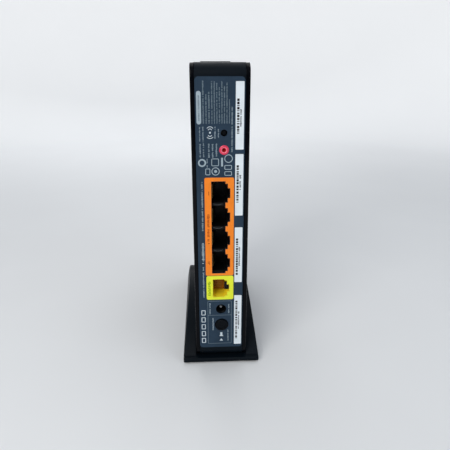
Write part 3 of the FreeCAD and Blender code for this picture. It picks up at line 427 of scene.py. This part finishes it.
def rect(x0, z0, x1, z1, radius=0.0, steps=6):
    """Corners of a rectangle, rounded when a radius is given."""
    if radius <= 0.0:
        return [(x0, z0), (x1, z0), (x1, z1), (x0, z1)]
    points = []
    corners = ((x1, z1, 0), (x0, z1, 1), (x0, z0, 2), (x1, z0, 3))
    for x, z, quarter in corners:
        cx = x - radius if x == x1 else x + radius
        cz = z - radius if z == z1 else z + radius
        for step in range(steps + 1):
            angle = (quarter + step / steps) * math.pi / 2
            points.append((cx + radius * math.cos(angle), cz + radius * math.sin(angle)))
    return points


def ring_frame(x0, z0, x1, z1, radius, line):
    """Outer and inner outlines of a thin rounded frame."""
    inner = rect(x0 + line, z0 + line, x1 - line, z1 - line, max(radius - line, 0.05))
    return [rect(x0, z0, x1, z1, radius), inner]


def disc(x, z, radius, steps=40):
    """Points of a circle."""
    turns = [math.tau * step / steps for step in range(steps)]
    return [(x + radius * math.cos(turn), z + radius * math.sin(turn)) for turn in turns]


def arc_band(x, z, radius, line, start, end, steps=14):
    """A curved stroke from start to end, in degrees."""
    turns = [math.radians(start + (end - start) * step / steps) for step in range(steps + 1)]
    far, near = radius + line / 2, radius - line / 2
    outer = [(x + far * math.cos(turn), z + far * math.sin(turn)) for turn in turns]
    inner = [(x + near * math.cos(turn), z + near * math.sin(turn)) for turn in turns]
    return outer + inner[::-1]


def socket_outline(low, high, centres, gap):
    """The outline of a socket opening with a two-step notch beside every port."""
    left, right = SLOT_LEFT - gap, SLOT_RIGHT + gap
    near, far = right + LATCH_STEP, right + LATCH_STEP * 2
    wide, narrow = LATCH_WIDE / 2 + gap, LATCH_NARROW / 2 + gap
    points = [(left, low - gap), (right, low - gap)]
    for centre in centres:
        points += [
            (right, centre - wide),
            (near, centre - wide),
            (near, centre - narrow),
            (far, centre - narrow),
            (far, centre + narrow),
            (near, centre + narrow),
            (near, centre + wide),
            (right, centre + wide),
        ]
    return points + [(right, high + gap), (left, high + gap)]


def dash_column(x, z_low, z_high, size, seed, gap_chance=0.1):
    """A column of short plain dashes, which stands for a line of fine print and spells nothing."""
    draw = random.Random(seed)
    shapes = []
    z = z_low
    while z < z_high - size * 0.4:
        if draw.random() < gap_chance:
            z += size * 0.6
            continue
        tall = size * draw.choice((0.62, 0.7, 0.74, 0.95))
        shift = (size - tall) * draw.choice((-0.2, 0.0, 0.2))
        thick = size * draw.uniform(0.26, 0.42)
        shapes.append(rect(x + shift - tall / 2, z, x + shift + tall / 2, z + thick))
        z += thick + size * draw.uniform(0.12, 0.26)
    return shapes


def bars(name, rects, ink, face=FACE, thick=PRINT):
    """Many small raised rectangles as one mesh of closed boxes."""
    vertices, faces = [], []
    for corners in rects:
        start = len(vertices)
        for y in (face - thick, face):
            vertices += [(x * MM, y * MM, z * MM) for x, z in corners]
        a, b, c, d, e, f, g, h = range(start, start + 8)
        faces += [(a, b, c, d), (h, g, f, e), (a, e, f, b), (b, f, g, c), (c, g, h, d), (d, h, e, a)]
    mesh = bpy.data.meshes.new(name)
    mesh.from_pydata(vertices, [], faces)
    mesh.update()
    return add_piece(name, mesh, INKS[ink], "router")


def lan_outline(gap):
    return socket_outline(LAN_MIDDLE - LAN_HALF, LAN_MIDDLE + LAN_HALF, LAN_CENTRES, gap)


def wan_outline(gap):
    return socket_outline(WAN_MIDDLE - WAN_HALF, WAN_MIDDLE + WAN_HALF, [WAN_MIDDLE], gap)


def socket_fields():
    """Coloured fields round the sockets, with faint marks on them."""
    orange = rect(FIELD_LEFT, LAN_LOW.z - 0.9, FIELD_RIGHT, LAN_HIGH.z + 1.6, 0.9)
    flat_art("orange_field", [orange, lan_outline(LAN_GAP)], "orange")
    yellow = rect(FIELD_LEFT + 0.3, WAN_LOW.z - 0.4, FIELD_RIGHT, WAN_HIGH.z + 0.85, 1.1)
    flat_art("yellow_field", [yellow, wan_outline(WAN_GAP)], "yellow")
    strip = FIELD_LEFT + 1.9
    face = FACE - PRINT
    marks = dash_column(strip, LAN_MIDDLE - 9.0, LAN_MIDDLE + 9.5, 1.6, 4)
    bars("orange_marks", marks, "orange_dark", face)
    digits = digit("4", strip, LAN_CENTRES[0]) + digit("1", strip, LAN_CENTRES[3])
    bars("port_numbers", digits, "orange_dark", face)
    notes = dash_column(strip + 0.1, WAN_MIDDLE - 4.9, WAN_MIDDLE + 4.6, 1.9, 9, 0.0)
    bars("yellow_marks", notes, "green", face)


def divider_lip_highlights():
    """A thin curved pale-grey strip on the front edge of each divider between two network sockets, a
    painted highlight.
    """
    x = (SLOT_LEFT + SLOT_RIGHT) / 2 - 0.3
    radius, line, thick, down, half_turn = 4.6, 0.22, 0.16, 270.0, 33.0
    for step, (low, high) in enumerate(zip(LAN_CENTRES, LAN_CENTRES[1:]), start=1):
        z = (low + high) / 2 + radius - 0.15
        lip_highlight = arc_band(x, z, radius, line, down - half_turn, down + half_turn)
        # pale grey arc on the divider's edge: painted highlight
        flat_art(f"divider_lip_{step}", [lip_highlight], "lip_highlight", LAN_LOW.y, thick)


DIGIT_STROKES = {"1": ("right",), "4": ("left_top", "middle", "right")}


def digit(mark, x, z, tall=2.2, wide=1.2, line=0.36):
    """A number built from straight strokes that stay just clear of each other."""
    x0, x1, z0, z1 = x - wide / 2, x + wide / 2, z - tall / 2, z + tall / 2
    strokes = {
        "right": rect(x1 - line, z0, x1, z1),
        "left_top": rect(x0, z + line * 0.02, x0 + line, z1),
        "middle": rect(x0, z - line, x1 - line * 1.02, z),
    }
    return [strokes[name] for name in DIGIT_STROKES[mark]]


# columns of dashes: across from the label's left edge, bottom, top, size
FINE_PRINT = (
    (4.2, 148.6, 170.2, 0.8),
    (5.7, 148.6, 163.4, 0.7),
    (7.2, 148.6, 164.8, 0.9),
    (8.7, 148.6, 169.6, 0.66),
    (10.0, 148.6, 169.8, 0.66),
    (11.3, 148.6, 168.9, 0.66),
    (12.6, 148.6, 166.8, 0.66),
    (13.9, 148.6, 169.6, 0.66),
    (15.2, 148.6, 167.6, 0.66),
    (16.5, 148.6, 169.2, 0.66),
    (17.8, 148.6, 161.0, 0.6),
)
BUTTON_NOTES = (
    (2.2, 139.4, 147.0, 0.7),
    (3.9, 139.0, 147.2, 0.75),
    (2.3, 131.0, 138.4, 0.8),
    (4.1, 131.0, 138.4, 0.8),
    (6.9, 130.8, 138.4, 0.95),
    (8.9, 130.8, 138.2, 0.95),
    (10.9, 130.8, 138.4, 0.95),
    (10.2, 140.4, 147.2, 0.85),
    (12.0, 141.4, 146.6, 0.75),
    (19.2, 133.6, 157.0, 0.75),
    (5.9, 125.4, 130.2, 0.7),
)
SIDE_LINE = ((2.9, 89.0, 118.0, 1.0), (2.9, 46.5, 67.0, 1.0))
SIDE_NAME = ((2.9, 68.6, 81.8, 1.5),)


def fine_print():
    """Columns of small dashes on the label, and five plain frames near its foot."""
    tables = (
        ("fine_print", FINE_PRINT, "note"),
        ("button_notes", BUTTON_NOTES, "faint"),
        ("side_line", SIDE_LINE, "faint"),
        ("side_name", SIDE_NAME, "soft"),
    )
    for group, (name, table, ink) in enumerate(tables):
        shapes = []
        for seed, (across, low, high, size) in enumerate(table):
            shapes += dash_column(LABEL_LEFT + across, low, high, size, 20 + group * 40 + seed)
        bars(name, shapes, ink)
    blocks = []
    count, first, pitch, tall = 5, 14.6, 4.9, 3.5
    for step in range(count):
        z = first + step * pitch
        blocks += ring_frame(LABEL_LEFT + 1.2, z, LABEL_LEFT + 3.7, z + tall, 0.4, 0.45)
    flat_art("plain_blocks", blocks, "pale")


# corners and radius of the frame round the power fittings, and of the two openings in it
POWER_FRAMES = (
    (-8.1, 13.9, 6.4, 43.9, 0.6),
    (-7.84, 14.16, 6.14, 33.95, 0.35),
    (-7.84, 34.2, 6.14, 43.64, 0.35),
)
# x, bottom, top, size, seed
POWER_NOTES = (
    (-6.7, 34.9, 42.6, 1.0, 111),
    (4.6, 35.4, 41.8, 0.9, 112),
    (-4.9, 23.0, 32.4, 1.1, 113),
    (4.2, 15.8, 24.0, 0.9, 114),
)
# outlines of the two small push marks under the power button
PUSH_MARKS = (
    ((-1.1, 19.2), (1.3, 19.2), (0.75, 20.2), (0.75, 21.9), (-0.55, 21.9), (-0.55, 20.2)),
    ((-1.0, 15.9), (1.2, 15.9), (0.1, 17.5)),
)


def pill_and_frames():
    """The pale pill beside the fine print and the thin frames round the power fittings."""
    pill = rect(LABEL_LEFT + 0.7, 148.2, LABEL_LEFT + 3.1, 164.9, 1.15)
    flat_art("pill_mark", [pill], "soft")
    pill_print = dash_column(LABEL_LEFT + 1.9, 150.0, 163.2, 0.9, 101)
    bars("pill_print", pill_print, "dim", FACE - PRINT)
    flat_art("socket_frames", [rect(*row) for row in POWER_FRAMES], "dim")
    notes = []
    for row in POWER_NOTES:
        notes += dash_column(*row)
    bars("power_notes", notes, "faint")
    flat_art("push_marks", PUSH_MARKS, "pale")


def wireless_icon():
    """Dot between two pairs of arcs, one pair above and one below."""
    x, z, line = LABEL_LEFT + 7.6, 143.9, 0.32
    shapes = [disc(x, z, 0.5, 24)]
    for shift, radius, half_turn in ((0.93, 1.0, 68.0), (1.1, 1.95, 55.0)):
        for side, middle in ((1, 90.0), (-1, 270.0)):
            start, end = middle - half_turn, middle + half_turn
            shapes.append(arc_band(x, z + shift * side, radius, line, start, end))
    flat_art("wireless_icon", shapes, "pale")


# rings: across from the label's left edge, z, radius, line; frames: left, low, right and high
APPROVAL_RINGS = ((3.2, 127.9, 2.15, 0.8), (10.4, 123.2, 2.2, 0.4), (17.4, 130.1, 2.25, 0.4))
APPROVAL_FRAMES = (
    (8.2, 126.1, 12.2, 130.2),
    (15.2, 124.1, 19.2, 126.6),
    (15.2, 120.8, 19.2, 123.2),
    (4.9, 121.2, 7.5, 124.8),
)


def approval_shapes():
    """Plain rings and frames in place of the approval marks."""
    left = LABEL_LEFT
    shapes = []
    for across, z, radius, line in APPROVAL_RINGS:
        shapes += [disc(left + across, z, radius), disc(left + across, z, radius - line)]
    across, z = APPROVAL_RINGS[1][:2]
    shapes.append(disc(left + across, z, 0.8, 20))
    for x0, z0, x1, z1 in APPROVAL_FRAMES:
        shapes += ring_frame(left + x0, z0, left + x1, z1, 0.6, 0.34)
    shapes.append(rect(left + 13.4, 125.9, left + 14.4, 130.6))
    flat_art("approval_shapes", shapes, "soft")


# profiles of the ring round the pin hole: radius, depth behind the label's face
RING_RIM = (
    (1.58, 0.0), (1.58, -0.34), (1.75, -0.36), (1.95, -0.33), (2.2, -0.26), (2.4, -0.16),
    (2.52, -0.07), (2.58, 0.0),
)
# paler inner band: painted highlight on the inner slope of the ring
RING_HIGHLIGHT_BAND = ((1.13, 0.0), (1.13, -0.1), (1.2, -0.2), (1.37, -0.29), (1.57, -0.34), (1.57, 0.0))
# wall and floor down the hole in dark red: painted shade inside the hole
RING_SHADED_WALL = (
    (1.11, -0.05), (0.96, 0.0), (0.93, 0.5), (0.93, 1.4), (0.5, 1.44), (0.28, 1.44),
    (0.28, 1.5), (0.99, 1.5), (0.99, 0.04), (1.11, 0.0),
)


def reset_ring():
    """Red ring round the pin hole, its paler inner band, a painted highlight on the ring's dome, and a
    dark red wall down the hole, painted shade inside it.
    """
    low, high = box_mm("reset_button")
    x, z = (low.x + high.x) / 2, (low.z + high.z) / 2
    lathe("reset_ring", x, z, RING_RIM, "red")
    lathe("reset_highlight_band", x, z, RING_HIGHLIGHT_BAND, "pink_highlight")
    lathe("reset_shaded_wall", x, z, RING_SHADED_WALL, "crimson_shade")


def lathe(name, x, z, profile, ink, steps=64):
    """A closed ring round a Y axis from (radius, depth behind the label's face) pairs."""
    mesh = bpy.data.meshes.new(name)
    work = bmesh.new()
    loops = []
    for radius, depth in profile:
        y = (FACE + depth) * MM
        loop = []
        for step in range(steps):
            turn = math.tau * step / steps
            point = ((x + radius * math.cos(turn)) * MM, y, (z + radius * math.sin(turn)) * MM)
            loop.append(work.verts.new(point))
        loops.append(loop)
    for first, second in zip(loops, loops[1:] + loops[:1]):
        for step in range(steps):
            after = (step + 1) % steps
            work.faces.new((first[step], first[after], second[after], second[step]))
    bmesh.ops.recalc_face_normals(work, faces=work.faces)
    work.to_mesh(mesh)
    work.free()
    for face in mesh.polygons:
        face.use_smooth = True
    return add_piece(name, mesh, INKS[ink], "router")


# node, then the shares of its height where the bars start and end, and where the notes do
STICKERS = (
    ("upper_sticker", 0.24, 0.73, 0.35, 0.61),
    ("second_sticker", 0.22, 0.82, 0.43, 0.67),
    ("third_sticker", 0.14, 0.81, 0.31, 0.66),
    ("lower_sticker", 0.12, 0.88, 0.32, 0.69),
)


def sticker_print():
    """Random bars, which carry no code, and faint marks on the four paper stickers."""
    for seed, (name, *shares) in enumerate(STICKERS):
        low, high = box_mm(name)
        draw = random.Random(200 + seed)
        z, end, note_start, note_end = [low.z + (high.z - low.z) * share for share in shares]
        code = []
        while z < end:
            thick = draw.choice((0.45, 0.7, 0.95, 1.25))
            code.append(rect(low.x + 0.75, z, low.x + 1.95, z + thick))
            z += thick + draw.choice((0.35, 0.45, 0.7))
        bars(name + "_bars", code, "black", low.y, THIN_PRINT)
        notes = dash_column(low.x + 2.75, note_start, note_end, 1.1, 240 + seed)
        bars(name + "_notes", notes, "grey", low.y, THIN_PRINT)


def socket_shades_and_collar():
    """The dark carrier plate and its brown ribs, standing for the contacts, at the far end of the yellow
    socket, and the black notch plate in its latch notch, all painted shade; and the collar of the yellow
    socket.
    """
    clear, corner = 0.15, 0.3
    deep = WAN_LOW.y + SHADED_CARRIER_DEPTH
    low, high = WAN_MIDDLE - SHADED_CARRIER_HALF, WAN_MIDDLE + SHADED_CARRIER_HALF
    plate = rect(SLOT_LEFT + clear, low, SLOT_RIGHT - clear, high, corner)
    # a dark plate at the socket's far end: painted shade
    flat_art("wan_shaded_carrier", [plate], "amber_shade", deep, SHADED_CARRIER_THICK)
    ribs = []
    for step in range(RIB_COUNT):
        x, z = SLOT_LEFT + 1.0, low + 1.2 + step * RIB_PITCH
        ribs.append(rect(x, z, x + RIB_LENGTH, z + RIB_THICK))
    bars("wan_shaded_ribs", ribs, "rib_shade", deep - SHADED_CARRIER_THICK, 0.15)
    half = LATCH_NARROW / 2 - clear
    notch = rect(SLOT_RIGHT - 0.3, WAN_MIDDLE - half, SLOT_RIGHT + 2.4, WAN_MIDDLE + half, corner)
    # a black plate in the latch notch: painted shade where the notch lies in shadow
    flat_art("wan_notch_shade", [notch], "black", WAN_LOW.y + NOTCH_SHADE_DEPTH, 0.2)
    collar = [wan_outline(COLLAR_OUT), wan_outline(COLLAR_IN)]
    flat_art("wan_collar", collar, "collar", WAN_LOW.y, WAN_LOW.y - FACE)


def front_marks():
    """Plain marks over the five status lights."""
    low, high = box_mm("front_lens")
    middle = (low.z + high.z) / 2
    heights = [middle + LIGHT_PITCH * (step - LIGHT_COUNT // 2) for step in range(LIGHT_COUNT)]
    bottom, fourth, third, second, top = heights
    shapes = [disc(0.0, top, 1.5, 32), disc(0.0, top, 1.15, 32)]
    shapes += [arc_band(0.0, second - 1.0, radius, 0.32, 50.0, 130.0) for radius in (1.0, 1.9, 2.8)]
    shapes.append(disc(0.0, second - 1.0, 0.35, 16))
    shapes += ring_frame(-1.5, third - 1.1, 1.5, third + 1.1, 0.3, 0.3)
    shapes += [[(-1.4, fourth - 1.0), (1.4, fourth - 1.0), (0.0, fourth + 1.3)]]
    shapes += [rect(-1.5, bottom + step, 1.5, bottom + step + 0.4) for step in (-1.1, -0.2, 0.7)]
    flat_art("front_marks", shapes, "mark", high.y + THIN_PRINT, THIN_PRINT)


# --------------------------------------------------------------------------- set

def swept_sheet(name, profile, material, closed, steps=96):
    """A round sheet about the Z axis from (radius, height) pairs in metres."""
    work = bmesh.new()
    loops = []
    for radius, height in profile:
        turns = [math.tau * step / steps for step in range(steps)]
        points = [(radius * math.cos(turn), radius * math.sin(turn), height) for turn in turns]
        loops.append([work.verts.new(point) for point in points])
    if closed:
        work.faces.new(loops[0])
    for first, second in zip(loops, loops[1:]):
        for step in range(steps):
            after = (step + 1) % steps
            work.faces.new((first[after], first[step], second[step], second[after]))
    mesh = bpy.data.meshes.new(name)
    work.to_mesh(mesh)
    work.free()
    mesh.materials.append(material)
    for face in mesh.polygons:
        face.use_smooth = True
    sheet = bpy.data.objects.new(name, mesh)
    bpy.context.scene.collection.objects.link(sheet)
    return sheet


FLOOR_RADIUS, FLOOR_CENTRE, FLOOR_Z = 0.7, 0.3, -0.0002
WALL_REACH, WALL_TOP, WALL_STEPS = 0.65, 1.3, 40


def studio_paper():
    """Pale paper that glows a little more the farther it is from the object."""
    shade = Shade("studio_paper")
    cloud = shade.noise(120.0, 2.0)
    shade.colour(shade.mix(cloud, (0.70, 0.71, 0.72), (0.74, 0.75, 0.76)))
    shade.roughness(shade.remap(cloud, 0.3, 0.7, 0.8, 0.9))
    shade.fixed(specular=0.1)
    place = shade.add("ShaderNodeNewGeometry")
    distance = shade.add("ShaderNodeVectorMath", operation="LENGTH")
    shade.link(place.outputs["Position"], distance.inputs[0])
    glow = shade.remap(distance.outputs["Value"], 0.3, 1.3, 0.0, 0.52)
    glow.node.interpolation_type = "SMOOTHSTEP"
    shade.shader.inputs["Emission Color"].default_value = (0.98, 0.99, 1.0, 1.0)
    shade.link(glow, shade.shader.inputs["Emission Strength"])
    return shade.material


def studio():
    """Pale floor that sweeps up all round the object; the wall is only for the camera."""
    material = studio_paper()
    floor = [(FLOOR_CENTRE, FLOOR_Z), (FLOOR_RADIUS, FLOOR_Z)]
    swept_sheet("studio_floor", floor, material, True)
    shares = [step / WALL_STEPS for step in range(WALL_STEPS + 1)]
    profile = [(FLOOR_RADIUS + WALL_REACH * share, FLOOR_Z + WALL_TOP * share**3) for share in shares]
    wall = swept_sheet("studio_wall", profile, material, False)
    wall.visible_diffuse = False
    wall.visible_glossy = False
    wall.visible_shadow = False


def sky():
    """Faint cool light from all round, stronger from above."""
    world = bpy.data.worlds.new("studio_world")
    world.use_nodes = True
    tree = world.node_tree
    coords = tree.nodes.new("ShaderNodeTexCoord")
    split = tree.nodes.new("ShaderNodeSeparateXYZ")
    ramp = tree.nodes.new("ShaderNodeMapRange")
    ramp.inputs["To Min"].default_value = 0.10
    ramp.inputs["To Max"].default_value = 0.55
    tree.links.new(coords.outputs["Generated"], split.inputs["Vector"])
    tree.links.new(split.outputs["Z"], ramp.inputs["Value"])
    background = tree.nodes["Background"]
    background.inputs["Color"].default_value = (0.86, 0.92, 1.0, 1.0)
    tree.links.new(ramp.outputs["Result"], background.inputs["Strength"])
    bpy.context.scene.world = world


# name, place, side, power, tint
LIGHTS = (
    ("key_light", (-0.4, -0.68, 0.5), 0.5, 4.6, (1.0, 0.98, 0.95)),
    ("fill_light", (0.62, -0.45, 0.36), 0.5, 1.1, (0.9, 0.95, 1.0)),
    ("top_light", (0.05, 0.2, 0.95), 0.7, 2.2, (1.0, 1.0, 1.0)),
    ("rim_light", (-0.1, 0.7, 0.5), 0.5, 1.6, (1.0, 1.0, 1.0)),
)
LIGHT_TARGET = (0.0, 0.0, 0.09)


def soft_light(name, place, side, power, tint):
    """A square light that looks at the middle of the object."""
    data = bpy.data.lights.new(name, "AREA")
    data.shape = "SQUARE"
    data.size = side
    data.energy = power
    data.color = tint
    lamp = bpy.data.objects.new(name, data)
    lamp.location = place
    aim = Vector(LIGHT_TARGET) - Vector(place)
    lamp.rotation_euler = aim.to_track_quat("-Z", "Y").to_euler()
    bpy.context.scene.collection.objects.link(lamp)


# the photo's viewing angle: a little from the left and looking down, close to the object
CAMERA_AT = (-0.0096, -0.2961, 0.179)
CAMERA_TURN = 2.9
CAMERA_PITCH = 20.1
CAMERA_LENS = 35.8


def camera():
    data = bpy.data.cameras.new("camera")
    data.sensor_width = 36.0
    data.lens = CAMERA_LENS
    data.clip_start = 0.01
    eye = bpy.data.objects.new("camera", data)
    eye.location = CAMERA_AT
    turn = math.radians(-CAMERA_TURN)
    eye.rotation_euler = (math.radians(90.0 - CAMERA_PITCH), 0.0, turn)
    bpy.context.scene.collection.objects.link(eye)
    bpy.context.scene.camera = eye


def view_settings():
    settings = bpy.context.scene.view_settings
    settings.view_transform = "Standard"
    settings.look = "None"


dress_nodes()
socket_fields()
fine_print()
pill_and_frames()
wireless_icon()
approval_shapes()
reset_ring()
divider_lip_highlights()
socket_shades_and_collar()
front_marks()
sticker_print()
studio()
sky()
for row in LIGHTS:
    soft_light(*row)
camera()
view_settings()
